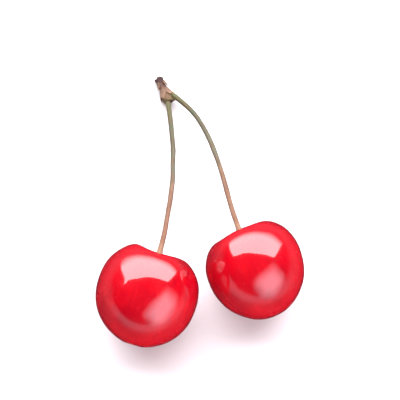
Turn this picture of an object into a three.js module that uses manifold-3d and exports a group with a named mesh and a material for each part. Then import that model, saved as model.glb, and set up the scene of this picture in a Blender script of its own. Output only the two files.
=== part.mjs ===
// Two sweet cherries on their stalks, joined by the woody spur they grew from.
//
// Units are millimetres and +Z is up. The pair lies on a level surface at z = 0: each fruit rests on a
// small flat of its side, and the spur rests behind them. +X runs from the left fruit to the right one,
// and +Y runs from the fruits to the spur. The origin is under the middle of the whole pair.

import * as THREE from 'three';
import { mergeVertices } from 'three/addons/utils/BufferGeometryUtils.js';
import Module from 'manifold-3d';

const wasm = await Module();
wasm.setup();

// ---- driving dimensions -----------------------------------------------------------------------------

const GAP = 0.3; // clearance between touching pieces

const LEFT_FRUIT = {
  width: 23.8, // across the widest part
  height: 22.0, // from the tip to the shoulder
  shoulder: 0.03, // how much broader the stalk end is than the tip
  fullness: 0.028, // how much squarer than an ellipse its sides are
  lean: 17.5, // degrees, the stalk end turned towards +X
  lift: 17, // degrees, the stalk end raised above the table
  suture: 140, // degrees round the axis, from the upper side towards +X
};
const RIGHT_FRUIT = {
  width: 23.0,
  height: 21.0,
  shoulder: 0.08,
  fullness: 0.022,
  lean: -24,
  lift: 13,
  suture: -75,
};
const FRUIT_SPACING = { x: 25.8, y: 6.2 }; // right fruit's centre from the left one's
const REST_FLAT = 0.14; // how much of a fruit's side is pressed flat where it lies

const CAVITY = { depth: 3.9, spread: 4.1 }; // the hollow that the stalk sits in
const TIP_DIMPLE = { depth: 0.35, spread: 1.3 }; // the hollow of the flower scar
const CHEEK = 0.012; // how much the fruit is pressed flat between its two cheeks
const SUTURE = { depth: 0.018, spread: 13 }; // share of the radius, and degrees

const STALK = {
  radius: 0.58, // halfway along
  discRadius: 1.45, // at the fruit
  discDepth: 0.45, // how far the disc's middle stands out below its rim
  discReach: 1.15, // length over which the disc narrows
  footRadius: 0.84, // at the spur
  footReach: 2.4, // length over which the foot narrows
};
// How far each end of a stalk runs straight on, and the way that its foot points.
const LEFT_BOW = { atFruit: 16, atFoot: 16, lean: -8, lift: -23 };
const RIGHT_BOW = { atFruit: 14, atFoot: 16, lean: -52, lift: -14 };
// Where each stalk ends in the spur: along it from its foot, across it towards +X, and up.
const LEFT_FOOT = { along: 0.5, across: -0.3, up: 0.1 };
const RIGHT_FOOT = { along: 1.6, across: 1.15, up: 0.55 };

const SPUR = {
  x: 5.3, // foot of the spur, the end that the stalks leave, from the left fruit's centre
  y: 52.6,
  lean: -24, // degrees, the torn end turned towards -X
  lift: -5, // degrees, the torn end slightly lowered
  length: 6.6,
  radius: 1.5, // at the swelling
  hollow: 0.4, // depth of the torn end
  scars: [0.46, 0.6, 0.72], // rings left by old leaves, as shares of the length
};
const SPUR_FLAT = 0.06; // how much of the swelling is worn flat where it lies

const SCALE_THICKNESS = 0.34;
// Degrees from the spur's upper side towards +X, millimetres from its foot, and how far the tip stands off.
const SCALES = [
  { round: -104, along: 1.9, long: 2.7, wide: 1.9, flare: 0.5 },
  { round: -38, along: 2.1, long: 2.9, wide: 2.0, flare: 0.35 },
  { round: 28, along: 2.3, long: 2.5, wide: 1.8, flare: 0.5 },
  { round: 66, along: 4.5, long: 2.0, wide: 1.6, flare: 0.4 },
  { round: -70, along: 4.6, long: 1.9, wide: 1.6, flare: 0.6 },
];

// How finely the surfaces are faceted: sides round the axis, and steps along it.
const FRUIT_SIDES = 40;
const FRUIT_STEPS = 28;
const STALK_SIDES = 10;
const STALK_STEPS = 26;
const SPUR_SIDES = 16;
const SPUR_STEPS = 20;

const DEG = Math.PI / 180;

// ---- helpers ----------------------------------------------------------------------------------------

// A closed surface whose corners are shared, as a solid for cutting.
function toSolid(geometry) {
  const bare = geometry.clone();
  bare.deleteAttribute('normal');
  bare.deleteAttribute('uv');
  const merged = mergeVertices(bare, 1e-4);
  const mesh = new wasm.Mesh({
    numProp: 3,
    vertProperties: new Float32Array(merged.attributes.position.array),
    triVerts: new Uint32Array(merged.index.array),
  });
  mesh.merge();
  return new wasm.Manifold(mesh);
}

function toGeometry(solid) {
  const mesh = solid.getMesh();
  const geometry = new THREE.BufferGeometry();
  geometry.setAttribute('position', new THREE.BufferAttribute(new Float32Array(mesh.vertProperties), 3));
  geometry.setIndex(new THREE.BufferAttribute(new Uint32Array(mesh.triVerts), 1));
  geometry.computeVertexNormals();
  return geometry;
}

// Moves every corner of a geometry by a function of its place.
function reshape(geometry, move) {
  const places = geometry.attributes.position;
  const corner = new THREE.Vector3();
  for (let i = 0; i < places.count; i++) {
    corner.fromBufferAttribute(places, i);
    move(corner);
    places.setXYZ(i, corner.x, corner.y, corner.z);
  }
  return geometry;
}

// The direction that lies `lean` degrees from +Y towards +X and `lift` degrees above the table.
function direction(lean, lift) {
  return new THREE.Vector3(
    Math.sin(lean * DEG) * Math.cos(lift * DEG),
    Math.cos(lean * DEG) * Math.cos(lift * DEG),
    Math.sin(lift * DEG),
  );
}

// The turn that lays a piece made along +Z that way, with its +Y side uppermost.
function layingTurn({ lean, lift }) {
  const along = direction(lean, lift);
  const across = new THREE.Vector3(0, 0, 1).cross(along).normalize();
  const basis = new THREE.Matrix4().makeBasis(across, along.clone().cross(across), along);
  return new THREE.Quaternion().setFromRotationMatrix(basis);
}

// How high a piece has to be raised for its lowest side to dip `flat` below the table.
function restingHeight(geometry, flat) {
  geometry.computeBoundingBox();
  return -geometry.boundingBox.min.z - flat;
}

// A body of revolution about +Z, from its profile as points (radius, height) that start and end on the
// axis.
function turned(profile, sides) {
  return new THREE.LatheGeometry(profile, sides).rotateX(Math.PI / 2);
}

// Everything below the table.
function underTable() {
  const size = 200;
  const block = new THREE.BoxGeometry(size, size, size);
  block.translate(0, 0, -size / 2);
  return toSolid(block);
}

// ---- fruit ------------------------------------------------------------------------------------------

// The outline of a fruit in one half plane, before it is scaled to its width and height. The angle runs
// from the tip at 0 to the middle of the stalk hollow at pi.
function outlinePoint(angle, fruit) {
  const taper = 1 - fruit.shoulder * Math.cos(angle) + fruit.fullness * Math.sin(2 * angle) ** 2;
  const radius = (fruit.width / 2) * Math.sin(angle) * taper;
  const upper = angle > Math.PI / 2;
  const hollow = upper ? CAVITY.depth * Math.exp(-((radius / CAVITY.spread) ** 2)) : 0;
  const dimple = upper ? 0 : TIP_DIMPLE.depth * Math.exp(-((radius / TIP_DIMPLE.spread) ** 2));
  return new THREE.Vector2(Math.max(radius, 0), -(fruit.height / 2) * Math.cos(angle) - hollow + dimple);
}

// The whole outline, scaled and centred on the middle of its height.
function fruitOutline(fruit) {
  const crowding = 0.06; // brings the steps closer together in the stalk hollow
  const points = [];
  for (let i = 0; i <= FRUIT_STEPS; i++) {
    const share = i / FRUIT_STEPS;
    const crowded = share - crowding * Math.sin(4 * Math.PI * share) * share;
    points.push(outlinePoint(Math.PI * crowded, fruit));
  }
  points[0].x = 0;
  points[FRUIT_STEPS].x = 0;
  const heights = points.map((point) => point.y);
  const low = Math.min(...heights);
  const high = Math.max(...heights);
  const wide = Math.max(...points.map((point) => point.x));
  for (const point of points) {
    point.x *= fruit.width / 2 / wide;
    point.y = (point.y - (low + high) / 2) * (fruit.height / (high - low));
  }
  return points;
}

// Presses the cheeks and draws the suture down one side. It fades out at both ends of the fruit.
function fruitCheeks(corner, fruit) {
  const round = Math.atan2(-corner.x, corner.y) - fruit.suture * DEG;
  const off = Math.atan2(Math.sin(round), Math.cos(round)) / (SUTURE.spread * DEG);
  const level = 1 - (corner.z / (fruit.height / 2)) ** 2;
  const groove = SUTURE.depth * Math.exp(-off * off) * Math.max(level, 0);
  const scale = 1 - CHEEK * (1 + Math.cos(2 * round)) - groove;
  corner.x *= scale;
  corner.y *= scale;
}

// A fruit that lies at (x, y), with its lowest side pressed flat on the table. Returns its shape and the
// place of the middle of its stalk hollow.
function lyingFruit(fruit, x, y) {
  const outline = fruitOutline(fruit);
  const shape = reshape(turned(outline, FRUIT_SIDES), (corner) => fruitCheeks(corner, fruit));
  const turn = layingTurn(fruit);
  shape.applyQuaternion(turn);
  const centre = new THREE.Vector3(x, y, restingHeight(shape, REST_FLAT));
  shape.translate(centre.x, centre.y, centre.z);
  const hollow = new THREE.Vector3(0, 0, outline[outline.length - 1].y).applyQuaternion(turn).add(centre);
  return { shape: toGeometry(toSolid(shape).subtract(underTable())), hollow };
}

// ---- stalks -----------------------------------------------------------------------------------------

// The line of a stalk, from just above the stalk hollow of its fruit to its foot on the spur.
function stalkLine(hollow, fruit, foot, bow) {
  const axis = direction(fruit.lean, fruit.lift);
  const start = hollow.clone().addScaledVector(axis, GAP);
  return new THREE.CubicBezierCurve3(
    start,
    start.clone().addScaledVector(axis, bow.atFruit),
    foot.clone().addScaledVector(direction(bow.lean, bow.lift), -bow.atFoot),
    foot,
  );
}

// The radius of a stalk at a distance from its disc.
function stalkRadius(along, length) {
  const disc = (STALK.discRadius - STALK.radius) * Math.exp(-along / STALK.discReach);
  const foot = (STALK.footRadius - STALK.radius) * Math.exp((along - length) / STALK.footReach);
  return STALK.radius + disc + foot;
}

// The straight stalk: a rounded disc that fits the bottom of the hollow, the long thin stretch and the
// foot. `swell` makes it that much bigger all over.
function stalkProfile(length, swell) {
  const crowding = 0.11; // brings the steps closer together at both ends
  const points = [new THREE.Vector2(0, -swell)];
  for (const share of [0.45, 0.8]) {
    const radius = (STALK.discRadius + swell) * share;
    points.push(new THREE.Vector2(radius, STALK.discDepth * share ** 2 - swell));
  }
  for (let i = 0; i <= STALK_STEPS; i++) {
    const share = i / STALK_STEPS;
    const crowded = share + crowding * Math.sin(2 * Math.PI * (share - 0.5));
    const pastDisc = (length - STALK.discDepth) * crowded;
    points.push(new THREE.Vector2(stalkRadius(pastDisc, length) + swell, STALK.discDepth + pastDisc));
  }
  points.push(new THREE.Vector2(0, length + swell));
  return points;
}

// Lays a straight piece, which stands on the origin along +Z, along a line.
function layAlong(geometry, line, length) {
  const frames = 64;
  const { tangents, normals, binormals } = line.computeFrenetFrames(frames, false);
  return reshape(geometry, (corner) => {
    const share = THREE.MathUtils.clamp(corner.z / length, 0, 1);
    const beyond = corner.z - share * length;
    const frame = Math.round(share * frames);
    const { x, y } = corner;
    corner.copy(line.getPointAt(share));
    corner.addScaledVector(tangents[frame], beyond);
    corner.addScaledVector(normals[frame], x);
    corner.addScaledVector(binormals[frame], y);
  });
}

// A stalk on its line.
function stalkShape(line, swell = 0) {
  const length = line.getLength();
  return layAlong(turned(stalkProfile(length, swell), STALK_SIDES), line, length);
}

// ---- spur and bud scales ----------------------------------------------------------------------------

// The spur's radius as a share of its swelling, at a share of the way from the foot to the torn end.
function spurFullness(share) {
  const bump = (middle, reach) => Math.exp(-(((share - middle) / reach) ** 2));
  const waist = 0.57;
  const swelling = 0.43 * bump(0.22, 0.22);
  const rim = 0.16 * bump(0.96, 0.09);
  const scars = SPUR.scars.reduce((sum, middle) => sum + 0.05 * bump(middle, 0.025), 0);
  return waist + swelling + rim + scars;
}

// The knob from the foot to the torn end, which is slightly hollow. `swell` makes it that much bigger all
// over.
function spurProfile(swell) {
  const points = [new THREE.Vector2(0, -swell)];
  for (let i = 0; i <= SPUR_STEPS; i++) {
    const share = i / SPUR_STEPS;
    points.push(new THREE.Vector2(SPUR.radius * spurFullness(share) + swell, SPUR.length * share));
  }
  points[1].y -= swell;
  points.push(new THREE.Vector2(0, SPUR.length - SPUR.hollow));
  return points;
}

const spurTurn = layingTurn(SPUR);
const spurHeight = restingHeight(turned(spurProfile(0), SPUR_SIDES).applyQuaternion(spurTurn), SPUR_FLAT);

// Puts a piece made round +Z, with its foot at the origin, on the spur's place.
function ontoSpur(geometry) {
  return geometry.applyQuaternion(spurTurn).translate(SPUR.x, SPUR.y, spurHeight);
}

// A place in the spur, from its foot: along it, across it towards +X, and up.
function placeInSpur({ along, across, up }) {
  const foot = new THREE.Vector3(SPUR.x, SPUR.y, spurHeight);
  return new THREE.Vector3(-across, up, along).applyQuaternion(spurTurn).add(foot);
}

// The spur where it lies, before the stalks' sockets are cut.
function spurBody(swell = 0) {
  return ontoSpur(turned(spurProfile(swell), SPUR_SIDES));
}

// One dry scale: a thin leaf-shaped shell that follows the spur, with its point over the foot and standing
// off.
function scaleShape({ round, along, long, wide, flare }) {
  const leaf = new THREE.SphereGeometry(0.5, 12, 8).rotateX(Math.PI / 2);
  leaf.scale(wide, SCALE_THICKNESS, long);
  reshape(leaf, (corner) => {
    const toPoint = Math.max(-corner.z / (long / 2), 0);
    const share = THREE.MathUtils.clamp((along + corner.z) / SPUR.length, 0, 1);
    const seat = SPUR.radius * spurFullness(share) + GAP + SCALE_THICKNESS / 2;
    const turn = (corner.x * (1 - 0.3 * toPoint)) / seat;
    const reach = seat + corner.y + flare * toPoint ** 2;
    corner.set(reach * Math.sin(turn), reach * Math.cos(turn), corner.z);
  });
  leaf.translate(0, 0, along);
  leaf.rotateZ(round * DEG);
  return ontoSpur(leaf);
}

// ---- assembly ---------------------------------------------------------------------------------------

const FRUIT_FINISH = { color: 0xd8001c, roughness: 0.18, metalness: 0 };
const STALK_FINISH = { color: 0x87884f, roughness: 0.6, metalness: 0 };
const SPUR_FINISH = { color: 0x8a6a48, roughness: 0.85, metalness: 0 };
const SCALE_FINISH = { color: 0x5e3f2c, roughness: 0.9, metalness: 0 };

const group = new THREE.Group();

function addPiece(name, geometry, finish) {
  const mesh = new THREE.Mesh(geometry, new THREE.MeshStandardMaterial(finish));
  mesh.name = name;
  group.add(mesh);
}

const left = lyingFruit(LEFT_FRUIT, 0, 0);
const right = lyingFruit(RIGHT_FRUIT, FRUIT_SPACING.x, FRUIT_SPACING.y);

const leftLine = stalkLine(left.hollow, LEFT_FRUIT, placeInSpur(LEFT_FOOT), LEFT_BOW);
const rightLine = stalkLine(right.hollow, RIGHT_FRUIT, placeInSpur(RIGHT_FOOT), RIGHT_BOW);
const sockets = toSolid(stalkShape(leftLine, GAP)).add(toSolid(stalkShape(rightLine, GAP)));

addPiece('cherry_left', left.shape, FRUIT_FINISH);
addPiece('cherry_right', right.shape, FRUIT_FINISH);
addPiece('stalk_left', stalkShape(leftLine), STALK_FINISH);
addPiece('stalk_right', stalkShape(rightLine), STALK_FINISH);
addPiece('spur', toGeometry(toSolid(spurBody()).subtract(sockets).subtract(underTable())), SPUR_FINISH);

const keepClear = sockets.add(toSolid(spurBody(GAP))).add(underTable());
SCALES.forEach((scale, i) => {
  const cut = toSolid(scaleShape(scale)).subtract(keepClear);
  addPiece(`bud_scale_${i + 1}`, toGeometry(cut), SCALE_FINISH);
});

const middle = new THREE.Box3().setFromObject(group).getCenter(new THREE.Vector3());
group.position.set(-middle.x, -middle.y, 0);

export default group;
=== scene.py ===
"""Two sweet cherries on their stalks, joined by the woody spur they grew from, in plain studio light.

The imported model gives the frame: where each fruit lies and where the spur's torn end is. Every piece here
is built upright round +Z, given its fine surface, and then laid where the frame has it. Sizes are named in
millimetres and turned into metres as the corners are placed.
"""

import logging
import math
from bisect import bisect_right
from dataclasses import dataclass
from enum import Enum
from itertools import product
from typing import Callable, Sequence

import bmesh
import bpy
from bpy.types import AreaLight, Material, Node, NodeSocket, Object, ShaderNodeTree
from mathutils import Matrix, Vector, noise
from mathutils.geometry import interpolate_bezier


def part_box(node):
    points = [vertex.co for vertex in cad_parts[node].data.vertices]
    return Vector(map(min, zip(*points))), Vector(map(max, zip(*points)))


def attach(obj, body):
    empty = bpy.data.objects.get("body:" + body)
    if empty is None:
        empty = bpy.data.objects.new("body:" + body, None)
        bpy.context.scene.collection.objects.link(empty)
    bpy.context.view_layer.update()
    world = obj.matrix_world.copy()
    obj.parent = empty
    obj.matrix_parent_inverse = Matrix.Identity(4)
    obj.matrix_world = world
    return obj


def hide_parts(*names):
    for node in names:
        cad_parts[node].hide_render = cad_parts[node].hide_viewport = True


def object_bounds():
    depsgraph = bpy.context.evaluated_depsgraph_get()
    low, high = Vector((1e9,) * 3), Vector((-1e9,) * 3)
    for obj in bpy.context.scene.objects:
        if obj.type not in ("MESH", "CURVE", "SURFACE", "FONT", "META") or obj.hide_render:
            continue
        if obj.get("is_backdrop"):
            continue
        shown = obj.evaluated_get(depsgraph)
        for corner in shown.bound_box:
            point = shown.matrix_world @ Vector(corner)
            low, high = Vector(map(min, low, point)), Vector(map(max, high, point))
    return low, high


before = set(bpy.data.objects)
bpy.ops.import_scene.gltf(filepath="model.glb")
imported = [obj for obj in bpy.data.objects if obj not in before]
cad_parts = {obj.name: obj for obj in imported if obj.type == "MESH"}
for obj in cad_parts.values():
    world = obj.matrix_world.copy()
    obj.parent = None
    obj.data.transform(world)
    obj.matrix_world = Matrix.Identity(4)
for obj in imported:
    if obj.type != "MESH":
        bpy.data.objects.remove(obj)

LOG = logging.getLogger("cherries")
MM = 0.001
BODY = "root"
GROWN = "grown"  # where a corner sat in the upright piece, in millimetres
SHARE = "share"  # how far along the piece a corner is, from 0 to 1

Profile = Sequence[tuple[float, float]]
Colour = tuple[float, float, float]
Stops = tuple[tuple[float, Colour], ...]
Wire = NodeSocket
Value = Wire | float | Colour
Mesh = bmesh.types.BMesh

BACKDROP: Colour = (0.66, 0.66, 0.66)


# ---- shared geometry ----


@dataclass(frozen=True)
class Ring:
    """A smooth raised ring, or a sunk one where its height is below 0, in its owner's own measures."""

    height: float
    middle: float
    reach: float

    def at(self, value: float) -> float:
        """Return how high the ring stands at a place across it."""
        return self.height * math.exp(-(((value - self.middle) / self.reach) ** 2))


def direction(lean: float, lift: float) -> Vector:
    """Return a unit vector at a lean from +Y towards +X and a lift above the table, in degrees."""
    across, up = math.radians(lean), math.radians(lift)
    return Vector((math.sin(across) * math.cos(up), math.cos(across) * math.cos(up), math.sin(up)))


def laying_turn(lean: float, lift: float) -> Matrix:
    """Turn an upright piece so that its +Z lies that way and its +Y side stays uppermost.

    Args:
        lean: Degrees from +Y towards +X.
        lift: Degrees above the table.

    Returns:
        The turn.
    """
    along = direction(lean, lift)
    across = Vector((0.0, 0.0, 1.0)).cross(along).normalized()
    return Matrix((across, along.cross(across), along)).transposed()


def bearing(place: Vector) -> tuple[float, Vector]:
    """Return the angle of a place round +Z, in radians, and the unit vector that way."""
    around = math.atan2(place.y, place.x)
    return around, Vector((math.cos(around), math.sin(around), 0.0))


def angle_between(first: float, second: float) -> float:
    """Return the smallest signed angle from the second to the first, in radians."""
    return math.atan2(math.sin(first - second), math.cos(first - second))


def turned(profile: Profile, sides: int) -> Mesh:
    """Spin an outline round +Z into a closed body.

    Args:
        profile: Points (radius, height) in millimetres that start and end on the axis.
        sides: How many faces go round.

    Returns:
        The body, with the upright place of each corner kept on it.
    """
    mesh = bmesh.new()
    corners = [mesh.verts.new((radius * MM, 0.0, height * MM)) for radius, height in profile]
    edges = [mesh.edges.new(pair) for pair in zip(corners, corners[1:])]
    bmesh.ops.spin(
        mesh,
        geom=corners + edges,
        cent=(0.0, 0.0, 0.0),
        axis=(0.0, 0.0, 1.0),
        angle=math.tau,
        steps=sides,
        use_merge=True,
    )
    bmesh.ops.remove_doubles(mesh, verts=mesh.verts[:], dist=1e-7)
    bmesh.ops.recalc_face_normals(mesh, faces=mesh.faces[:])
    keep_growth(mesh)
    return mesh


def keep_growth(mesh: Mesh) -> None:
    """Write each corner's upright place, in millimetres, and its share of the height on the mesh.

    Args:
        mesh: The upright piece.
    """
    grown = mesh.verts.layers.float_vector.new(GROWN)
    share = mesh.verts.layers.float.new(SHARE)
    low = min(corner.co.z for corner in mesh.verts)
    high = max(corner.co.z for corner in mesh.verts)
    for corner in mesh.verts:
        corner[grown] = corner.co / MM
        corner[share] = (corner.co.z - low) / (high - low)


def reshape(mesh: Mesh, move: Callable[[Vector], Vector]) -> None:
    """Move every corner to the place that a function of its old one gives, in millimetres."""
    for corner in mesh.verts:
        corner.co = move(corner.co / MM) * MM


def laid_box(mesh: Mesh, turn: Matrix) -> tuple[Vector, Vector]:
    """Measure an upright piece as it lies.

    Args:
        mesh: The upright piece.
        turn: The turn that lays it down.

    Returns:
        The lowest and the highest corner of its box, in metres.
    """
    laid = [turn @ corner.co for corner in mesh.verts]
    low, high = (Vector([pick(measures) for measures in zip(*laid)]) for pick in (min, max))
    return low, high


def finished(name: str, mesh: Mesh, smooth_levels: int) -> Object:
    """Make a smooth-shaded object of a mesh.

    Args:
        name: The object's name.
        mesh: The shape, in place, which is used up.
        smooth_levels: Levels of subdivision, 0 for none.

    Returns:
        The object, at the origin.
    """
    data = bpy.data.meshes.new(name)
    mesh.to_mesh(data)
    mesh.free()
    data.polygons.foreach_set("use_smooth", [True] * len(data.polygons))
    piece = bpy.data.objects.new(name, data)
    bpy.context.scene.collection.objects.link(piece)
    if smooth_levels:
        smoothing = piece.modifiers.new("smooth", "SUBSURF")
        smoothing.levels = smooth_levels
        smoothing.render_levels = smooth_levels
    return piece


def install(piece: Object, node: str, material: Material) -> None:
    """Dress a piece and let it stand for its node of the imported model.

    Args:
        piece: The finished piece.
        node: The node it replaces.
        material: Its finish.
    """
    piece.data.materials.append(material)
    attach(piece, BODY)
    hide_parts(node)
    LOG.info("%s stands for %s with %d faces", piece.name, node, len(piece.data.polygons))


# ---- shader wiring ----


class Sum(Enum):
    """What a maths node does with its values."""

    PLUS = "ADD"
    MINUS = "SUBTRACT"
    TIMES = "MULTIPLY"
    TIMES_PLUS = "MULTIPLY_ADD"
    OVER = "DIVIDE"
    SIZE = "ABSOLUTE"
    BELOW = "LESS_THAN"


class Wiring:
    """Adds and joins the nodes of one shader tree."""

    def __init__(self, tree: ShaderNodeTree) -> None:
        """Start on an empty tree."""
        self.tree = tree
        tree.nodes.clear()

    def add(self, kind: str, **settings: object) -> Node:
        """Add a node.

        Args:
            kind: The node's type, without its "ShaderNode" prefix.
            **settings: Properties to set on it.

        Returns:
            The node.
        """
        node = self.tree.nodes.new("ShaderNode" + kind)
        for name, value in settings.items():
            setattr(node, name, value)
        return node

    def feed(self, node: Node, **inputs: Value) -> Node:
        """Give a node its inputs.

        Args:
            node: The node.
            **inputs: Socket names, with _ for a space, and a value or another node's output for each.

        Returns:
            The same node.
        """
        for name, value in inputs.items():
            self.plug(node.inputs[name.replace("_", " ")], value)
        return node

    def plug(self, socket: Wire, value: Value) -> None:
        """Set a socket, or link it.

        Args:
            socket: The input.
            value: Its value, or the output to link it to.
        """
        if isinstance(value, Wire):
            self.tree.links.new(value, socket)
        else:
            socket.default_value = value

    def in_order(self, node: Node, *values: Value) -> Node:
        """Give a node's first inputs their values.

        Args:
            node: The node.
            *values: A value or another node's output for each input, in order.

        Returns:
            The same node.
        """
        for socket, value in zip(node.inputs, values):
            self.plug(socket, value)
        return node

    def maths(self, operation: Sum, *values: Value) -> Wire:
        """Return the outcome of a sum on numbers or outputs."""
        return self.in_order(self.add("Math", operation=operation.value), *values).outputs["Value"]

    def times(self, first: Value, second: Value) -> Wire:
        """Return the product of two numbers."""
        return self.maths(Sum.TIMES, first, second)

    def scaled(self, vector: Value, by: Value) -> Wire:
        """Return a vector stretched along each axis."""
        return self.in_order(self.add("VectorMath", operation="MULTIPLY"), vector, by).outputs["Vector"]

    def length(self, vector: Value) -> Wire:
        """Return a vector's length."""
        return self.in_order(self.add("VectorMath", operation="LENGTH"), vector).outputs["Value"]

    def ranged(self, value: Value, low: float, high: float) -> Wire:
        """Return a number stretched smoothly so that low becomes 0 and high becomes 1."""
        node = self.add("MapRange", interpolation_type="SMOOTHSTEP")
        return self.feed(node, Value=value, From_Min=low, From_Max=high).outputs["Result"]

    def between(self, value: Value, low: float, high: float) -> Wire:
        """Return a number from 0 to 1 spread evenly from low to high."""
        return self.maths(Sum.TIMES_PLUS, value, high - low, low)

    def lay(self, under: Value, over: Colour, share: Value) -> Wire:
        """Lay a plain colour over another.

        Args:
            under: The lower colour, plain or another node's output.
            over: The upper colour.
            share: How much of the upper colour shows, from 0 to 1.

        Returns:
            The mixed colour.
        """
        node = self.add("Mix", data_type="RGBA", blend_type="MIX")
        self.plug(node.inputs[0], share)
        self.plug(node.inputs[6], (*under, 1.0) if isinstance(under, tuple) else under)
        self.plug(node.inputs[7], (*over, 1.0))
        return node.outputs[2]

    def relief(self, height: Wire, strength: float, distance: float) -> Wire:
        """Return the normals of a fine relief that stands so many metres high, shown at a strength."""
        node = self.feed(self.add("Bump"), Strength=strength, Distance=distance, Height=height)
        return node.outputs["Normal"]

    def ramp(self, value: Value, stops: Stops) -> Wire:
        """Run through a smooth ramp of colours.

        Args:
            value: The place on the ramp, from 0 to 1.
            stops: Each stop's place and colour.

        Returns:
            The colour.
        """
        node = self.add("ValToRGB")
        node.color_ramp.interpolation = "EASE"
        elements = node.color_ramp.elements
        while len(elements) < len(stops):
            elements.new(1.0)
        for element, (place, colour) in zip(elements, stops):
            element.position = place
            element.color = (*colour, 1.0)
        self.plug(node.inputs["Fac"], value)
        return node.outputs["Color"]

    def attribute(self, name: str, output: str) -> Wire:
        """Return one output of a piece's own attribute."""
        return self.add("Attribute", attribute_name=name).outputs[output]

    def group(self, effect: ShaderNodeTree, **inputs: Value) -> Node:
        """Place a shared effect and give it its inputs."""
        return self.feed(self.add("Group", node_tree=effect), **inputs)


class Effect(Wiring):
    """A shader node group in the making, between what it is given and what it shows."""

    def __init__(self, name: str, takes: tuple[str, ...], shows: tuple[str, ...]) -> None:
        """Begin the group.

        Args:
            name: The group's name.
            takes: Each input's name. All are numbers apart from Vector.
            shows: Each output's name. All are numbers.
        """
        super().__init__(bpy.data.node_groups.new(name, "ShaderNodeTree"))
        for label in takes:
            kind = "NodeSocketVector" if label == "Vector" else "NodeSocketFloat"
            self.tree.interface.new_socket(label, in_out="INPUT", socket_type=kind)
        for label in shows:
            self.tree.interface.new_socket(label, in_out="OUTPUT", socket_type="NodeSocketFloat")
        self.given = self.tree.nodes.new("NodeGroupInput").outputs
        self.shown = self.tree.nodes.new("NodeGroupOutput").inputs


class Effects:
    """The shader node groups that several finishes share, each built once."""

    def __init__(self) -> None:
        """Build every group."""
        self.mottle = self._mottle()
        self.specks = self._specks()
        self.fibres = self._fibres()

    def _mottle(self) -> ShaderNodeTree:
        """Build soft cloudy patches of one Size, with edges as Crisp as asked.

        Returns:
            The group, whose Vector and Size are in the same unit.
        """
        effect = Effect("mottle", ("Vector", "Size", "Crisp", "Detail"), ("Patch",))
        given = effect.given
        scale = effect.maths(Sum.OVER, 1.0, given["Size"])
        cloud = effect.add("TexNoise")
        effect.feed(cloud, Vector=given["Vector"], Scale=scale, Detail=given["Detail"])
        off_middle = effect.maths(Sum.MINUS, cloud.outputs["Fac"], 0.5)
        sharp = effect.between(given["Crisp"], 1.0, 9.0)
        spread = effect.maths(Sum.TIMES_PLUS, off_middle, sharp, 0.5)
        clamp = effect.feed(effect.add("Clamp"), Value=spread)
        effect.plug(effect.shown["Patch"], clamp.outputs["Result"])
        return effect.tree

    def _specks(self) -> ShaderNodeTree:
        """Build small round specks of one Radius, of which a Share of the places Spacing apart has one.

        Returns:
            The group, whose Vector, Spacing and Radius are in the same unit.
        """
        effect = Effect("specks", ("Vector", "Spacing", "Radius", "Share"), ("Speck", "Dip"))
        given = effect.given
        cells = effect.add("TexVoronoi", feature="F1")
        scale = effect.maths(Sum.OVER, 1.0, given["Spacing"])
        effect.feed(cells, Vector=given["Vector"], Scale=scale, Randomness=0.9)
        away = effect.times(cells.outputs["Distance"], given["Spacing"])
        inside = effect.maths(Sum.MINUS, 1.0, effect.maths(Sum.OVER, away, given["Radius"]))
        disc = effect.ranged(inside, 0.0, 0.7)
        parts = effect.feed(effect.add("SeparateColor"), Color=cells.outputs["Color"])
        chosen = effect.maths(Sum.BELOW, parts.outputs["Red"], given["Share"])
        strength = effect.between(parts.outputs["Green"], 0.3, 1.0)
        dip = effect.times(disc, chosen)
        effect.plug(effect.shown["Speck"], effect.times(dip, strength))
        effect.plug(effect.shown["Dip"], dip)
        return effect.tree

    def _fibres(self) -> ShaderNodeTree:
        """Build strands of one Width and Length that run along Z, and the ridges between them.

        Returns:
            The group, whose Vector, Width and Length are in the same unit.
        """
        effect = Effect("fibres", ("Vector", "Width", "Length", "Rough"), ("Strand", "Ridge"))
        given = effect.given
        across = effect.maths(Sum.OVER, 1.0, given["Width"])
        along = effect.maths(Sum.OVER, 1.0, given["Length"])
        stretch = effect.feed(effect.add("CombineXYZ"), X=across, Y=across, Z=along)
        drawn = effect.scaled(given["Vector"], stretch.outputs["Vector"])
        strands = effect.add("TexNoise")
        effect.feed(strands, Vector=drawn, Scale=1.0, Detail=4.0, Roughness=given["Rough"])
        effect.plug(effect.shown["Strand"], effect.ranged(strands.outputs["Fac"], 0.3, 0.7))
        fold = effect.maths(Sum.SIZE, effect.maths(Sum.MINUS, strands.outputs["Fac"], 0.5))
        effect.plug(effect.shown["Ridge"], effect.ranged(fold, 0.0, 0.16))
        return effect.tree


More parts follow.
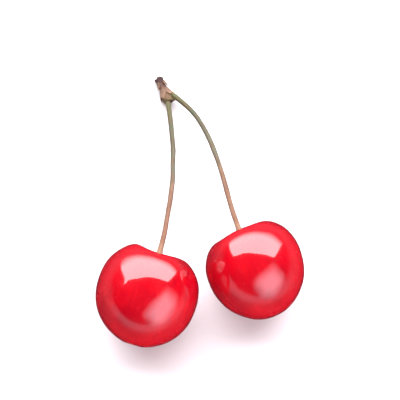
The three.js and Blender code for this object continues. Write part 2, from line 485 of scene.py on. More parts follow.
class Finish(Wiring):
    """A material in the making, with the shared effects laid on a piece's own attributes."""

    def __init__(self, name: str, effects: Effects) -> None:
        """Begin the material with its surface shader.

        Args:
            name: The material's name.
            effects: The shader groups that finishes share.
        """
        self.material = bpy.data.materials.new(name)
        self.material.use_nodes = True
        super().__init__(self.material.node_tree)
        self.effects = effects
        self.shader = self.add("BsdfPrincipled")
        self.feed(self.add("OutputMaterial"), Surface=self.shader.outputs["BSDF"])

    @property
    def grown(self) -> Wire:
        """Where each point sat in the upright piece, in millimetres."""
        return self.attribute(GROWN, "Vector")

    @property
    def share(self) -> Wire:
        """How far along the piece each point is, from 0 to 1."""
        return self.attribute(SHARE, "Fac")

    def patches(self, size: float, crisp: float, detail: float) -> Wire:
        """Return cloudy patches of a size in millimetres, as crisp and as detailed as asked."""
        node = self.group(self.effects.mottle, Vector=self.grown, Size=size, Crisp=crisp, Detail=detail)
        return node.outputs["Patch"]

    def specks(self, spacing: float, radius: float, share: float) -> tuple[Wire, Wire]:
        """Return specks of mixed strength and the dips under them, with sizes in millimetres."""
        sizes = {"Spacing": spacing, "Radius": radius, "Share": share}
        return self.group(self.effects.specks, Vector=self.grown, **sizes).outputs[:2]

    def strands(self, width: float, length: float, rough: float) -> tuple[Wire, Wire]:
        """Return strands along the piece and the ridges beside them, with sizes in millimetres."""
        sizes = {"Width": width, "Length": length, "Rough": rough}
        return self.group(self.effects.fibres, Vector=self.grown, **sizes).outputs[:2]


@dataclass(frozen=True)
class CherrySkin:
    """The thin glossy skin of a ripe fruit, over flesh that glows a little."""

    bright: Colour = (0.5, 0.0008, 0.008)
    deep: Colour = (0.2, 0.0, 0.007)
    blush: Colour = (0.61, 0.005, 0.011)
    # painted shade: the dark red laid in the stalk hollow
    hollow: Colour = (0.14, 0.0015, 0.005)
    speck: Colour = (0.85, 0.16, 0.12)
    scar: Colour = (0.2, 0.07, 0.034)
    scar_middle: Colour = (0.035, 0.014, 0.009)

    def dress(self, effects: Effects) -> Material:
        """Wire the finish up.

        Args:
            effects: The shader groups that finishes share.

        Returns:
            The material.
        """
        finish = Finish("cherry skin", effects)
        ripe = finish.between(finish.patches(11.0, 0.22, 2.5), 0.3, 1.0)
        colour = finish.lay(self.deep, self.bright, ripe)
        patches = finish.patches(4.5, 0.1, 2.0)
        colour = finish.lay(colour, self.blush, finish.times(patches, 0.35))
        streaks, _ = finish.strands(0.8, 10.0, 0.55)
        colour = finish.lay(colour, self.deep, finish.times(streaks, 0.22))
        specks, dips = finish.specks(0.5, 0.085, 0.65)
        colour = finish.lay(colour, self.speck, finish.times(specks, 0.34))

        # The radius from the axis marks the stalk hollow at one end, darkened there as painted shade, and
        # the flower scar at the other.
        radius = finish.length(finish.scaled(finish.grown, (1.0, 1.0, 0.0)))
        hollow_shade = finish.times(finish.ranged(radius, 4.6, 1.2), finish.ranged(finish.share, 0.5, 0.7))
        # painted shade: the stalk hollow is darkened towards the hollow colour
        colour = finish.lay(colour, self.hollow, finish.times(hollow_shade, 0.8))
        fine = finish.patches(0.5, 0.2, 2.0)
        ragged = finish.maths(Sum.PLUS, radius, finish.between(fine, -0.25, 0.25))
        at_tip = finish.ranged(finish.share, 0.3, 0.1)
        scar = finish.times(finish.ranged(ragged, 0.85, 0.5), at_tip)
        colour = finish.lay(colour, self.scar, scar)
        middle = finish.times(finish.ranged(ragged, 0.34, 0.1), at_tip)
        colour = finish.lay(colour, self.scar_middle, middle)

        rough = finish.maths(Sum.TIMES_PLUS, scar, 0.4, finish.between(patches, 0.2, 0.3))
        height = finish.maths(Sum.TIMES_PLUS, dips, -0.5, finish.times(fine, 0.25))
        wax = finish.times(finish.between(patches, 0.9, 1.0), finish.between(scar, 1.0, 0.2))
        finish.feed(
            finish.shader,
            Base_Color=colour,
            Roughness=rough,
            Normal=finish.relief(height, strength=0.25, distance=0.00003),
            Specular_IOR_Level=0.15,
            Subsurface_Weight=0.1,
            Subsurface_Radius=(1.0, 0.06, 0.04),
            Subsurface_Scale=0.0015,
            Coat_Weight=wax,
            Coat_Roughness=0.035,
            Coat_IOR=1.8,
        )
        return finish.material


@dataclass(frozen=True)
class StalkRind:
    """The rind of a stalk, from its pale disc in the fruit to its green foot on the spur."""

    stops: Stops = (
        (0.0, (0.496, 0.3565, 0.2325)),
        (0.04, (0.4185, 0.248, 0.155)),
        (0.13, (0.279, 0.1318, 0.0853)),
        (0.34, (0.2015, 0.1085, 0.0697)),
        (0.5, (0.106, 0.1, 0.067)),
        (0.75, (0.075, 0.09, 0.056)),
        (0.92, (0.09, 0.103, 0.044)),
        (1.0, (0.217, 0.1783, 0.0543)),
    )
    shade: Colour = (0.031, 0.0264, 0.0139)
    sheen: Colour = (0.248, 0.2325, 0.155)
    rust: Colour = (0.1395, 0.0543, 0.031)

    def dress(self, effects: Effects) -> Material:
        """Wire the finish up.

        Args:
            effects: The shader groups that finishes share.

        Returns:
            The material.
        """
        finish = Finish("stalk rind", effects)
        drift = finish.between(finish.patches(2.5, 0.2, 3.0), -0.05, 0.05)
        past_disc = finish.ranged(finish.share, 0.05, 0.2)
        colour = finish.ramp(finish.maths(Sum.TIMES_PLUS, drift, past_disc, finish.share), self.stops)
        strands, ridges = finish.strands(0.22, 5.0, 0.6)
        colour = finish.lay(colour, self.shade, finish.times(strands, 0.35))
        colour = finish.lay(colour, self.sheen, finish.between(ridges, 0.2, 0.0))
        colour = finish.lay(colour, self.rust, finish.times(finish.patches(1.6, 0.6, 4.0), 0.3))
        specks, _ = finish.specks(0.7, 0.09, 0.5)
        colour = finish.lay(colour, self.sheen, finish.times(specks, 0.45))
        height = finish.maths(Sum.TIMES_PLUS, specks, 0.6, ridges)
        finish.feed(
            finish.shader,
            Base_Color=colour,
            Roughness=finish.between(strands, 0.42, 0.58),
            Normal=finish.relief(height, strength=0.6, distance=0.00006),
            Specular_IOR_Level=0.12,
            Subsurface_Weight=0.05,
            Subsurface_Radius=(0.6, 0.6, 0.2),
            Subsurface_Scale=0.0006,
        )
        return finish.material


@dataclass(frozen=True)
class SpurBark:
    """The bark of the spur, from its dark collars over tan ridges to the dark torn end."""

    stops: Stops = (
        (0.0, (0.115, 0.075, 0.036)),
        (0.09, (0.21, 0.16, 0.066)),
        (0.25, (0.2945, 0.186, 0.1008)),
        (0.5, (0.279, 0.155, 0.093)),
        (0.68, (0.165, 0.084, 0.06)),
        (0.8, (0.1, 0.05, 0.041)),
        (1.0, (0.078, 0.04, 0.036)),
    )
    crack: Colour = (0.031, 0.0155, 0.0109)
    cork: Colour = (0.403, 0.279, 0.1705)

    def dress(self, effects: Effects) -> Material:
        """Wire the finish up.

        Args:
            effects: The shader groups that finishes share.

        Returns:
            The material.
        """
        finish = Finish("spur bark", effects)
        drift = finish.between(finish.patches(1.1, 0.3, 4.0), -0.1, 0.1)
        colour = finish.ramp(finish.maths(Sum.PLUS, finish.share, drift), self.stops)
        strands, ridges = finish.strands(0.16, 1.4, 0.7)
        colour = finish.lay(colour, self.crack, finish.times(strands, 0.6))
        specks, _ = finish.specks(0.5, 0.1, 0.45)
        colour = finish.lay(colour, self.cork, finish.times(specks, 0.6))
        height = finish.maths(Sum.TIMES_PLUS, specks, 0.5, ridges)
        finish.feed(
            finish.shader,
            Base_Color=colour,
            Roughness=finish.between(strands, 0.72, 0.87),
            Normal=finish.relief(height, strength=0.9, distance=0.00012),
        )
        return finish.material


@dataclass(frozen=True)
class ScalePaper:
    """The dry papery finish of a bud scale: dark at its foot, with paler veins and edges."""

    stops: Stops = (
        (0.0, (0.0543, 0.0279, 0.0186)),
        (0.45, (0.124, 0.0589, 0.0341)),
        (0.8, (0.2015, 0.1085, 0.062)),
        (1.0, (0.2945, 0.186, 0.1085)),
    )
    vein: Colour = (0.31, 0.2015, 0.124)

    def dress(self, effects: Effects) -> Material:
        """Wire the finish up.

        Args:
            effects: The shader groups that finishes share.

        Returns:
            The material.
        """
        finish = Finish("scale paper", effects)
        drift = finish.between(finish.patches(0.7, 0.3, 4.0), -0.15, 0.15)
        colour = finish.ramp(finish.maths(Sum.PLUS, finish.share, drift), self.stops)
        veins, ridges = finish.strands(0.13, 2.2, 0.5)
        finish.feed(
            finish.shader,
            Base_Color=finish.lay(colour, self.vein, finish.between(ridges, 0.5, 0.0)),
            Roughness=finish.between(veins, 0.55, 0.75),
            Normal=finish.relief(ridges, strength=0.7, distance=0.00006),
        )
        return finish.material


@dataclass(frozen=True)
class TableTop:
    """The plain pale floor, which glows softly past the reach of the panels. Sizes are in metres."""

    colour: Colour = (0.72, 0.72, 0.72)
    far_glow: Colour = BACKDROP
    dark: Colour = (0.0, 0.0, 0.0)
    grain: float = 0.02
    glow_starts: float = 0.1
    glow_full: float = 0.42

    def dress(self, effects: Effects) -> Material:
        """Wire the finish up.

        Args:
            effects: The shader groups that finishes share.

        Returns:
            The material.
        """
        finish = Finish("pale floor", effects)
        place = finish.add("TexCoord").outputs["Object"]
        grain = finish.group(effects.mottle, Vector=place, Size=self.grain, Crisp=0.1, Detail=2.0)
        far = finish.ranged(finish.length(place), self.glow_starts, self.glow_full)
        finish.feed(
            finish.shader,
            Base_Color=finish.lay(self.colour, self.dark, far),
            Roughness=finish.between(grain.outputs["Patch"], 0.85, 0.9),
            Specular_IOR_Level=0.0,
            Emission_Color=finish.lay(self.dark, self.far_glow, far),
            Emission_Strength=1.0,
        )
        finish.material.cycles.emission_sampling = "NONE"
        return finish.material


# ---- fruit ----


@dataclass
class Fruit:
    """One cherry, lying on its side. Sizes are in millimetres and angles in degrees."""

    node: str
    width: float
    height: float
    shoulder: float
    fullness: float
    lean: float
    lift: float
    suture: float
    seed: float
    hollow: Ring = Ring(-3.9, 0.0, 4.1)
    dimple: Ring = Ring(0.35, 0.0, 1.3)
    flower_scar: tuple[Ring, ...] = (Ring(-0.1, 0.0, 0.2), Ring(0.05, 0.36, 0.12), Ring(-0.09, 0.62, 0.16))
    cheek: float = 0.012
    groove: Ring = Ring(0.018, 0.0, 13.0)
    crease: Ring = Ring(0.07, 0.0, 1.8)
    swell: float = 0.22
    swell_rate: float = 0.11
    ripple: float = 0.05
    ripple_rate: float = 0.33
    lobes: tuple[float, float] = (0.26, 0.13)
    crown: Ring = Ring(1.0, 5.6, 2.6)
    crowding: float = 0.06
    rest_flat: float = 0.14
    sides: int = 120
    steps: int = 84

    def __post_init__(self) -> None:
        """Work out the way the fruit lies and the height of its stalk hollow."""
        self.turn = laying_turn(self.lean, self.lift)
        self.axis = direction(self.lean, self.lift)
        self.profile = self._outline()
        self.centre = Vector()

    def _outline_point(self, angle: float) -> tuple[float, float]:
        """Return a point of the half outline before it is scaled.

        Args:
            angle: From 0 at the tip to pi in the stalk hollow.

        Returns:
            The radius and the height.
        """
        taper = 1.0 - self.shoulder * math.cos(angle) + self.fullness * math.sin(2.0 * angle) ** 2
        radius = self.width / 2.0 * math.sin(angle) * taper
        height = -self.height / 2.0 * math.cos(angle)
        sunk = self.hollow if angle > math.pi / 2.0 else self.dimple
        return max(radius, 0.0), height + sunk.at(radius)

    def _outline(self) -> Profile:
        """Draw the half outline, with its points crowded at the belly and in the hollow.

        Returns:
            The outline from tip to hollow, scaled to the fruit's width and height.
        """
        points = []
        for i in range(self.steps + 1):
            share = i / self.steps
            crowded = share - self.crowding * math.sin(4.0 * math.pi * share) * share
            points.append(self._outline_point(math.pi * crowded))
        low = min(height for _, height in points)
        high = max(height for _, height in points)
        wide = max(radius for radius, _ in points)
        middle = (low + high) / 2.0
        scaled = [
            (radius * self.width / 2.0 / wide, (height - middle) * self.height / (high - low))
            for radius, height in points
        ]
        return [(0.0, scaled[0][1]), *scaled[1:-1], (0.0, scaled[-1][1])]

    def _round_suture(self, place: Vector) -> tuple[float, float, float]:
        """Measure a place of the upright fruit.

        Args:
            place: The place.

        Returns:
            The angle round the axis, the angle off the suture, and how near the place is to the widest
            part, from 0 to 1.
        """
        around = math.atan2(-place.x, place.y)
        level = max(1.0 - (place.z / (self.height / 2.0)) ** 2, 0.0)
        return around, angle_between(around, math.radians(self.suture)), level

    def _cheeks(self, place: Vector) -> Vector:
        """Press the cheeks and draw the broad suture down one side.

        Args:
            place: A place of the spun outline.

        Returns:
            Where it goes.
        """
        _, off, level = self._round_suture(place)
        groove = self.groove.at(math.degrees(off)) * level
        scale = 1.0 - self.cheek * (1.0 + math.cos(2.0 * off)) - groove
        return Vector((place.x * scale, place.y * scale, place.z))

    def _skin(self, place: Vector) -> Vector:
        """Add the slow swells of the flesh, the lobes of the shoulder, the fine crease and the scar.

        Args:
            place: A place of the fruit with its cheeks pressed.

        Returns:
            Where it goes.
        """
        radius = math.hypot(place.x, place.y)
        around, off, level = self._round_suture(place)
        outward = place.normalized()
        drift = Vector((self.seed, 1.7 * self.seed, -self.seed))
        swell = self.swell * noise.noise(place * self.swell_rate + drift)
        swell += self.ripple * noise.noise(place * self.ripple_rate - drift)
        swell -= self.crease.at(math.degrees(off)) * level
        moved = place + outward * swell
        if place.z > 0.0:
            lobes = self.lobes[0] * math.cos(2.0 * around + self.seed)
            lobes += self.lobes[1] * math.cos(3.0 * around - self.seed)
            moved.z += lobes * self.crown.at(radius)
        else:
            moved.z += sum(ring.at(radius) for ring in self.flower_scar)
        return moved

    def _settle(self, mesh: Mesh) -> None:
        """Find the fruit's centre, in metres, from the box that the frame gives its node.

        Args:
            mesh: The upright fruit.
        """
        low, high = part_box(self.node)
        mine = laid_box(mesh, self.turn)
        middle = (low + high) / 2.0 - (mine[0] + mine[1]) / 2.0
        self.centre = Vector((middle.x, middle.y, -mine[0].z - self.rest_flat * MM))

    def build(self) -> Object:
        """Build the fruit where it lies.

        Returns:
            The fruit, pressed flat where it touches the table.
        """
        mesh = turned(self.profile, self.sides)
        reshape(mesh, self._cheeks)
        self._settle(mesh)
        reshape(mesh, self._skin)
        for corner in mesh.verts:
            corner.co = self.turn @ corner.co + self.centre
            corner.co.z = max(corner.co.z, 0.0)
        return finished(self.node + "_fruit", mesh, smooth_levels=1)

    def hollow_floor(self) -> Vector:
        """Return the middle of the stalk hollow, in metres."""
        return self.centre + self.axis * self.profile[-1][1] * MM


# ---- spur ----


@dataclass(frozen=True)
class Socket:
    """Where and which way a stalk enters the spur. Places are in millimetres, angles in degrees."""

    along: float
    across: float
    up: float
    lean: float
    lift: float

    @property
    def spot(self) -> Vector:
        """Where the stalk enters the upright spur, in millimetres."""
        return Vector((-self.across, self.up, self.along))


@dataclass
class Spur:
    """The woody knob that both stalks spring from. Sizes are in millimetres and angles in degrees."""

    node: str = "spur"
    lean: float = -24.0
    lift: float = -5.0
    length: float = 6.6
    radius: float = 1.5
    torn_depth: float = 0.4
    rest_flat: float = 0.06
    waist: float = 0.57
    swelling: Ring = Ring(0.43, 0.22, 0.22)
    scars: tuple[Ring, ...] = tuple(Ring(0.05, middle, 0.025) for middle in (0.46, 0.6, 0.72))
    rim: Ring = Ring(0.16, 0.96, 0.09)
    foot_rings: tuple[float, ...] = (0.0, 0.3, 0.5, 0.65, 0.78, 0.88, 0.95)
    torn_bowl: Profile = ((0.8, 0.3), (0.55, 0.8), (0.3, 0.9), (0.0, 1.0))
    core: float = 0.6
    grain: float = 0.06
    lumps: float = 0.16
    ridges: float = 0.04
    smooth_foot: Ring = Ring(1.0, 0.0, 0.12)
    torn_from: float = 0.86
    ragged: float = 0.42
    splinters: float = 0.3
    left_socket: Socket = Socket(along=0.5, across=-0.3, up=0.1, lean=-8.0, lift=-23.0)
    right_socket: Socket = Socket(along=1.6, across=0.92, up=0.44, lean=-52.0, lift=-14.0)
    collar: Ring = Ring(0.3, 1.0, 0.26)
    collar_fades: float = 1.6
    sides: int = 64
    steps: int = 96

    def __post_init__(self) -> None:
        """Work out where the spur's foot is from the torn end of its node, which nothing cuts into."""
        self.turn = laying_turn(self.lean, self.lift)
        plain = turned(self.profile(), self.sides)
        mine = laid_box(plain, self.turn)
        plain.free()
        low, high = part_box(self.node)
        self.foot = Vector((low.x - mine[0].x, high.y - mine[1].y, -mine[0].z - self.rest_flat * MM))

    def fullness(self, share: float) -> float:
        """Return the radius as a share of the widest, at a share of the way to the torn end."""
        return self.waist + sum(ring.at(share) for ring in (self.swelling, self.rim, *self.scars))

    def profile(self) -> Profile:
        """Draw the spur's outline.

        Returns:
            The plain outline from the foot to the hollow torn end.
        """
        shares = [i / self.steps for i in range(self.steps + 1)]
        side = [(self.radius * self.fullness(share), self.length * share) for share in shares]
        rim = side[-1][0]
        foot = [(side[0][0] * part, 0.0) for part in self.foot_rings]
        torn = [(rim * across, self.length - self.torn_depth * down) for across, down in self.torn_bowl]
        return [*foot, *side, *torn]

    def place(self, socket: Socket) -> Vector:
        """Return a socket's place in the frame, in metres."""
        return self.foot + self.turn @ socket.spot * MM

    def _collar(self, place: Vector, socket: Socket) -> Vector:
        """Raise the collar round a stalk's foot.

        Args:
            place: A place of the upright spur.
            socket: Where the stalk enters.

        Returns:
            How far the collar lifts the place.
        """
        outward = -(self.turn.transposed() @ direction(socket.lean, socket.lift))
        reach = place - socket.spot
        along = reach.dot(outward)
        away = (reach - outward * along).length
        return outward * self.collar.at(away) * min(max(along / self.collar_fades + 1.0, 0.0), 1.0)

    def _bark(self, place: Vector) -> Vector:
        """Roughen the bark, tear the end and raise the collars of the two stalks.

        Args:
            place: A place of the spun outline.

        Returns:
            Where it goes.
        """
        around, outward = bearing(place)
        share = place.z / self.length
        grain = self.grain * noise.noise(outward * 3.2 + Vector((0.0, 0.0, 0.9 * place.z)))
        lumps = self.lumps * noise.noise(place * 0.8 + Vector((4.0, 0.0, 2.0)))
        ridges = self.ridges * math.cos(7.0 * around + 1.5 * noise.noise(place))
        ridges *= 1.0 - self.smooth_foot.at(share)
        off_axis = min(math.hypot(place.x, place.y) / self.core, 1.0)
        moved = place + outward * (grain + lumps + ridges) * off_axis
        if share > self.torn_from:
            ragged = self.ragged * noise.noise((outward * 2.6 + Vector((0.0, 0.0, 7.0))) * 1.7)
            splinters = self.splinters * noise.noise(place * 3.4)
            moved.z += (ragged + splinters) * (share - self.torn_from) / (1.0 - self.torn_from)
        for socket in (self.left_socket, self.right_socket):
            moved += self._collar(place, socket)
        return moved

    def build(self) -> Object:
        """Build the spur where it lies.

        Returns:
            The spur, worn flat where it touches the table.
        """
        mesh = turned(self.profile(), self.sides)
        reshape(mesh, self._bark)
        for corner in mesh.verts:
            corner.co = self.turn @ corner.co + self.foot
            corner.co.z = max(corner.co.z, 0.0)
        return finished("spur_knob", mesh, smooth_levels=1)


# ---- stalks ----


@dataclass
class Stalk:
    """One stalk, from its disc in the fruit's hollow to its foot in the spur. Sizes are in millimetres."""

    node: str
    fruit: Fruit
    spur: Spur
    socket: Socket
    bow_at_fruit: float
    seed: float
    bow_at_foot: float = 16.0
    radius: float = 0.58
    disc_radius: float = 1.45
    disc_depth: float = 0.45
    disc_reach: float = 1.15
    foot_radius: float = 0.84
    foot_reach: float = 2.4
    tucked: float = 1.5
    closing: float = 0.92
    ribs_start: float = 1.2
    ribs_full: float = 4.2
    rib: float = 0.05
    lump: float = 0.12
    wander: float = 0.28
    crowding: float = 0.11
    sides: int = 24
    steps: int = 130
    points: int = 400

    def __post_init__(self) -> None:
        """Draw the line of the stalk and measure it."""
        start = self.fruit.hollow_floor()
        foot = self.spur.place(self.socket)
        arrival = direction(self.socket.lean, self.socket.lift)
        self.line = interpolate_bezier(
            start,
            start + self.fruit.axis * self.bow_at_fruit * MM,
            foot - arrival * self.bow_at_foot * MM,
            foot,
            self.points,
        )
        self.line.append(foot + arrival * self.tucked * MM)
        self.marks = [0.0]
        for here, after in zip(self.line, self.line[1:]):
            self.marks.append(self.marks[-1] + (after - here).length / MM)
        self.length = self.marks[-1]
        self.rings = (
            Ring(0.06, self.disc_depth + 0.12, 0.12),
            Ring(-0.05, self.disc_depth + 0.5, 0.2),
            Ring(0.09, self.length * 0.27, 0.4),
            Ring(0.12, self.length * 0.62, 0.5),
            Ring(0.07, self.length - 3.1, 0.25),
            Ring(0.07, self.length - 2.0, 0.3),
        )

    def _radius_at(self, past_disc: float) -> float:
        """Return the plain radius at a place.

        Args:
            past_disc: How far it is from the disc.

        Returns:
            The radius, which closes to a rounded end in the spur.
        """
        disc = (self.disc_radius - self.radius) * math.exp(-past_disc / self.disc_reach)
        foot = (self.foot_radius - self.radius) * math.exp((past_disc - self.length) / self.foot_reach)
        to_end = self.length - self.disc_depth - past_disc
        rounded = math.sqrt(1.0 - self.closing * max(1.0 - to_end / self.tucked, 0.0) ** 2)
        return (self.radius + disc + foot) * rounded

    def profile(self) -> Profile:
        """Draw the outline of the straight stalk, with its points crowded at both ends.

        Returns:
            The outline from the disc to the foot.
        """
        disc = [(0.0, 0.0)]
        for share in (0.3, 0.55, 0.8, 0.93):
            disc.append((self.disc_radius * share, self.disc_depth * share**2 * 0.8))
        side = []
        for i in range(self.steps + 1):
            share = i / self.steps
            crowded = share + self.crowding * math.sin(math.tau * (share - 0.5))
            past_disc = (self.length - self.disc_depth) * crowded
            side.append((self._radius_at(past_disc), self.disc_depth + past_disc))
        return [*disc, *side, (0.0, self.length)]

    def _rind(self, place: Vector) -> Vector:
        """Give the straight stalk its ribs, lumps and rings.

        Args:
            place: A place of the spun outline.

        Returns:
            Where it goes.
        """
        around, outward = bearing(place)
        along = place.z
        past_disc = (along - self.ribs_start) / (self.ribs_full - self.ribs_start)
        past_disc = min(max(past_disc, 0.0), 1.0)
        ribs = self.rib * math.cos(5.0 * around + 0.05 * along + self.seed)
        lumps = self.lump * noise.noise(outward * 0.6 + Vector((0.0, 0.0, 0.22 * along + self.seed)))
        scale = 1.0 + (ribs + lumps) * past_disc + sum(ring.at(along) for ring in self.rings)
        return Vector((place.x * scale, place.y * scale, place.z))

    def _on_line(self, place: Vector) -> Vector:
        """Carry a place of the straight stalk on to its line.

        Args:
            place: The place, in millimetres.

        Returns:
            Where it goes, in metres.
        """
        along = min(max(place.z, 0.0), self.length)
        high = min(bisect_right(self.marks, along), len(self.marks) - 1)
        low = high - 1
        share = (along - self.marks[low]) / (self.marks[high] - self.marks[low])
        point = self.line[low].lerp(self.line[high], share)
        before = self.line[max(low - 2, 0)]
        after = self.line[min(high + 2, len(self.line) - 1)]
        tangent = (after - before).normalized()
        side = tangent.cross(Vector((0.0, 0.0, 1.0))).normalized()
        over = side.cross(tangent)
        wander = self.wander * math.sin(math.pi * along / self.length)
        across = place.x + wander * noise.noise(Vector((0.12 * along, self.seed, 0.0)))
        upward = place.y + wander * noise.noise(Vector((0.12 * along, self.seed, 9.0)))
        return point + (side * across + over * upward + tangent * (place.z - along)) * MM

    def build(self) -> Object:
        """Build the stalk.

        Returns:
            The stalk, bent along its line.
        """
        mesh = turned(self.profile(), self.sides)
        reshape(mesh, self._rind)
        for corner in mesh.verts:
            corner.co = self._on_line(corner.co / MM)
        return finished(self.node + "_rind", mesh, smooth_levels=1)


# ---- bud scales ----


@dataclass
class BudScale:
    """One dry scale that clasps the spur, point to the foot. Sizes in millimetres, around in degrees."""

    node: str
    spur: Spur
    around: float
    along: float
    long: float
    wide: float
    flare: float
    thickness: float = 0.13
    clearance: float = 0.04
    taper: float = 0.75
    foot_width: float = 0.8
    belly: float = 1.5
    bend: float = 2.2
    ragged: float = 0.12
    curl: float = 0.08
    crinkle: float = 0.05

    def _leaf(self, place: Vector) -> Vector:
        """Shape a flat sheet into a leaf.

        Args:
            place: A place of the sheet, from -0.5 to 0.5 each way.

        Returns:
            The place on the leaf, round the upright spur.
        """
        to_point = 0.5 - place.y
        width = max(1.0 - to_point, 0.0) ** self.taper * (self.foot_width + self.belly * to_point)
        edge = Vector((5.0 * to_point, math.copysign(2.0, place.x), self.around))
        ragged = self.ragged * noise.noise(edge)
        height = self.along + self.long * (0.5 - to_point)
        share = min(max(height / self.spur.length, 0.0), 1.0)
        surface = self.spur.radius * self.spur.fullness(share) + self.clearance + self.thickness
        turn = place.x * self.wide * (width + ragged * (0.3 + to_point)) / surface
        curl = self.curl * (2.0 * place.x) ** 2 * to_point
        crinkle = self.crinkle * noise.noise(Vector((3.0 * place.x, 3.0 * to_point, self.around)))
        reach = surface + 0.6 * self.flare * to_point**self.bend + curl + crinkle
        way = math.radians(self.around) - turn
        return Vector((-reach * math.sin(way), reach * math.cos(way), height))

    def build(self) -> Object:
        """Build the scale.

        Returns:
            The scale, clasping the spur.
        """
        mesh = bmesh.new()
        bmesh.ops.create_grid(mesh, x_segments=10, y_segments=16, size=0.5 * MM)
        grown = mesh.verts.layers.float_vector.new(GROWN)
        share = mesh.verts.layers.float.new(SHARE)
        for corner in mesh.verts:
            flat = corner.co / MM
            corner[grown] = Vector((flat.x * self.wide, self.around, flat.y * self.long))
            corner[share] = 0.5 - flat.y
        reshape(mesh, self._leaf)
        bmesh.ops.remove_doubles(mesh, verts=mesh.verts[:], dist=0.004 * MM)
        bmesh.ops.recalc_face_normals(mesh, faces=mesh.faces[:])
        bmesh.ops.solidify(mesh, geom=mesh.faces[:], thickness=self.thickness * MM)
        for corner in mesh.verts:
            corner.co = self.spur.turn @ corner.co + self.spur.foot
        return finished(self.node + "_leaf", mesh, smooth_levels=2)


# ---- studio ----


@dataclass
class Softbox:
    """A panel of light that faces the object and fades at its edges. Sizes in metres, angles in degrees."""

    name: str
    azimuth: float
    elevation: float
    distance: float
    width: float
    height: float
    radiance: float
    roll: float = 0.0
    fade_sides: float = 0.0
    fade_top: float = 0.0
    fade_bottom: float = 0.0
    colour: Colour = (1.0, 1.0, 1.0)
    mirrored: bool = True

    def _glow(self, lamp: AreaLight) -> None:
        """Fade the light towards the panel's edges.

        Args:
            lamp: The panel's light.
        """
        lamp.use_nodes = True
        wiring = Wiring(lamp.node_tree)
        place = wiring.add("SeparateXYZ")
        wiring.feed(place, Vector=wiring.add("NewGeometry").outputs["Parametric"])
        across, up = place.outputs["X"], place.outputs["Y"]
        glow = 1.0
        for value, start, end in (
            (across, 0.0, self.fade_sides),
            (across, 1.0, 1.0 - self.fade_sides),
            (up, 0.0, self.fade_bottom),
            (up, 1.0, 1.0 - self.fade_top),
        ):
            if start != end:
                glow = wiring.times(glow, wiring.ranged(value, start, end))
        emission = wiring.feed(wiring.add("Emission"), Strength=glow)
        wiring.feed(wiring.add("OutputLight"), Surface=emission.outputs["Emission"])

    def build(self, aim: Vector) -> None:
        """Hang the panel.

        Args:
            aim: The point that it faces.
        """
        lamp = bpy.data.lights.new(self.name, "AREA")
        lamp.shape = "RECTANGLE"
        lamp.size = self.width
        lamp.size_y = self.height
        lamp.energy = self.radiance * math.pi * self.width * self.height
        lamp.color = self.colour
        self._glow(lamp)
        panel = bpy.data.objects.new(self.name, lamp)
        away = direction(self.azimuth, self.elevation)
        panel.location = aim + away * self.distance
        facing = away.to_track_quat("Z", "Y").to_matrix() @ Matrix.Rotation(math.radians(self.roll), 3, "Z")
        panel.rotation_euler = facing.to_euler()
        panel.visible_camera = False
        panel.visible_glossy = self.mirrored
        bpy.context.scene.collection.objects.link(panel)


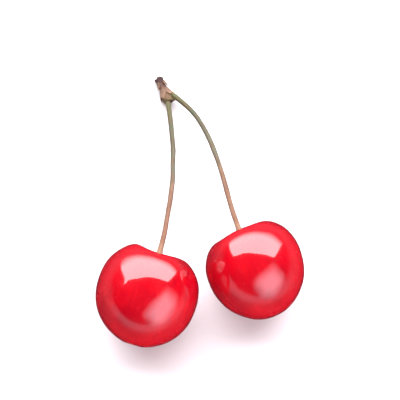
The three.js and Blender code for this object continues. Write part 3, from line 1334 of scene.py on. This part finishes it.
@dataclass
class Studio:
    """The floor, the lights and the camera round the object."""

    elevation: float = 70.0
    lens: float = 300.0
    tall_share: float = 0.8
    aim_height: float = 0.012
    floor_radius: float = 4.0
    floor_sides: int = 96
    room: Stops = (
        (0.0, (0.08, 0.02, 0.03)),
        (0.2, (0.14, 0.05, 0.065)),
        (0.45, (0.26, 0.19, 0.22)),
        (0.62, (0.01, 0.01, 0.01)),
    )
    front: Colour = (0.66, 0.54, 0.64)
    front_side: tuple[float, float] = (0.1, -0.7)
    front_rises: tuple[float, float] = (0.33, 0.46)
    front_falls: tuple[float, float] = (0.6, 0.52)

    def _floor(self, material: Material) -> None:
        """Lay the floor that the fruits lie on.

        Args:
            material: Its finish.
        """
        mesh = bmesh.new()
        bmesh.ops.create_circle(mesh, cap_ends=True, segments=self.floor_sides, radius=self.floor_radius)
        floor = finished("floor", mesh, smooth_levels=0)
        floor.data.materials.append(material)
        floor.visible_glossy = False
        floor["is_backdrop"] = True

    def _sky(self) -> None:
        """Surround the set with a dark room, pale to the camera, with the table's glow round its foot."""
        world = bpy.data.worlds.new("studio")
        world.use_nodes = True
        wiring = Wiring(world.node_tree)
        parts = wiring.add("SeparateXYZ")
        wiring.feed(parts, Vector=wiring.add("TexCoord").outputs["Generated"])
        height = wiring.maths(Sum.TIMES_PLUS, parts.outputs["Z"], 0.5, 0.5)
        in_front = wiring.ranged(parts.outputs["Y"], *self.front_side)
        rises = wiring.ranged(height, *self.front_rises)
        falls = wiring.ranged(height, *self.front_falls)
        front_glow = wiring.times(in_front, wiring.times(rises, falls))
        room = wiring.lay(wiring.ramp(height, self.room), self.front, front_glow)
        seen = wiring.add("LightPath").outputs["Is Camera Ray"]
        background = wiring.feed(wiring.add("Background"), Color=wiring.lay(room, BACKDROP, seen))
        wiring.feed(wiring.add("OutputWorld"), Surface=background.outputs["Background"])
        bpy.context.scene.world = world

    def _camera(self, low: Vector, high: Vector) -> None:
        """Look down on the pair from in front of the fruits.

        Args:
            low: The lowest corner of the object's box.
            high: Its highest corner.
        """
        data = bpy.data.cameras.new("camera")
        data.lens = self.lens
        camera = bpy.data.objects.new("camera", data)
        bpy.context.scene.collection.objects.link(camera)
        back = -direction(0.0, -self.elevation)
        over = Vector((1.0, 0.0, 0.0)).cross(-back)
        heights = [Vector(corner).dot(over) for corner in product(*zip(low, high))]
        middle = (low + high) / 2.0
        middle += over * ((min(heights) + max(heights)) / 2.0 - middle.dot(over))
        half_angle = math.atan(data.sensor_width / 2.0 / data.lens)
        tall = max(heights) - min(heights)
        camera.location = middle + back * (tall / 2.0 / self.tall_share / math.tan(half_angle))
        camera.rotation_euler = back.to_track_quat("Z", "Y").to_euler()
        data.clip_start = 0.01
        data.clip_end = 20.0
        bpy.context.scene.camera = camera

    def build(self, effects: Effects, low: Vector, high: Vector) -> None:
        """Build the studio.

        Args:
            effects: The shader groups that finishes share.
            low: The lowest corner of the object's box.
            high: Its highest corner.
        """
        self._floor(TableTop().dress(effects))
        self._sky()
        self._camera(low, high)
        aim = (low + high) / 2.0
        aim.z = self.aim_height
        panels = (
            Softbox(
                "key", azimuth=0.0, elevation=42.0, distance=0.6, width=1.75, height=0.98, radiance=5.9,
                roll=-8.0, fade_sides=0.08, fade_bottom=0.42, colour=(1.0, 0.95, 1.0),
            ),
            Softbox(
                "fill", azimuth=145.0, elevation=28.0, distance=0.5, width=0.84, height=0.6, radiance=3.3,
                roll=14.0, fade_sides=0.4, fade_top=0.34, fade_bottom=0.4, colour=(1.0, 0.84, 0.96),
            ),
            Softbox(
                "overhead", azimuth=0.0, elevation=90.0, distance=0.9, width=2.4, height=2.4, radiance=0.75,
                mirrored=False,
            ),
            Softbox(
                "front", azimuth=185.0, elevation=9.0, distance=0.6, width=0.9, height=0.18, radiance=4.0,
                mirrored=False,
            ),
        )
        for panel in panels:
            panel.build(aim)
        settings = bpy.context.scene.view_settings
        settings.view_transform = "Standard"
        settings.look = "None"


# ---- assembly ----


class TwinCherries:
    """The pair: two fruits, two stalks, the spur and its bud scales."""

    def __init__(self, effects: Effects) -> None:
        """Make the finishes that the pieces share.

        Args:
            effects: The shader groups that finishes share.
        """
        self.skin = CherrySkin().dress(effects)
        self.rind = StalkRind().dress(effects)
        self.bark = SpurBark().dress(effects)
        self.paper = ScalePaper().dress(effects)

    def _fruits(self) -> tuple[Fruit, Fruit]:
        """Build both fruits.

        Returns:
            The left and the right one.
        """
        left = Fruit(
            "cherry_left", width=23.8, height=22.0, shoulder=0.03, fullness=0.028,
            lean=17.5, lift=17.0, suture=140.0, seed=2.3,
        )
        right = Fruit(
            "cherry_right", width=23.0, height=21.0, shoulder=0.08, fullness=0.022,
            lean=-24.0, lift=13.0, suture=-75.0, seed=5.1,
        )
        for fruit in (left, right):
            install(fruit.build(), fruit.node, self.skin)
        return left, right

    def _stalks(self, left: Fruit, right: Fruit, spur: Spur) -> None:
        """Build both stalks.

        Args:
            left: The left fruit.
            right: The right fruit.
            spur: The spur that both end in.
        """
        stalks = (
            Stalk("stalk_left", left, spur, spur.left_socket, bow_at_fruit=16.0, seed=1.3),
            Stalk("stalk_right", right, spur, spur.right_socket, bow_at_fruit=14.0, seed=6.8),
        )
        for stalk in stalks:
            install(stalk.build(), stalk.node, self.rind)

    def _scales(self, spur: Spur) -> None:
        """Build the bud scales.

        Args:
            spur: The spur that they clasp.
        """
        scales = (
            BudScale("bud_scale_1", spur, around=-104.0, along=1.9, long=2.7, wide=1.9, flare=0.5),
            BudScale("bud_scale_2", spur, around=-38.0, along=2.1, long=2.9, wide=2.0, flare=0.35),
            BudScale("bud_scale_3", spur, around=28.0, along=2.3, long=2.5, wide=1.8, flare=0.5),
            BudScale("bud_scale_4", spur, around=66.0, along=4.5, long=2.0, wide=1.6, flare=0.4),
            BudScale("bud_scale_5", spur, around=-70.0, along=4.6, long=1.9, wide=1.6, flare=0.6),
        )
        for scale in scales:
            install(scale.build(), scale.node, self.paper)

    def build(self) -> None:
        """Build every piece of the pair."""
        left, right = self._fruits()
        spur = Spur()
        install(spur.build(), spur.node, self.bark)
        self._stalks(left, right, spur)
        self._scales(spur)


def main() -> None:
    """Build the pair and the studio."""
    logging.basicConfig(level=logging.INFO, format="%(message)s")
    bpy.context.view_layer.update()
    effects = Effects()
    TwinCherries(effects).build()
    low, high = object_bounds()
    Studio().build(effects, low, high)


if __name__ == "__main__":
    main()
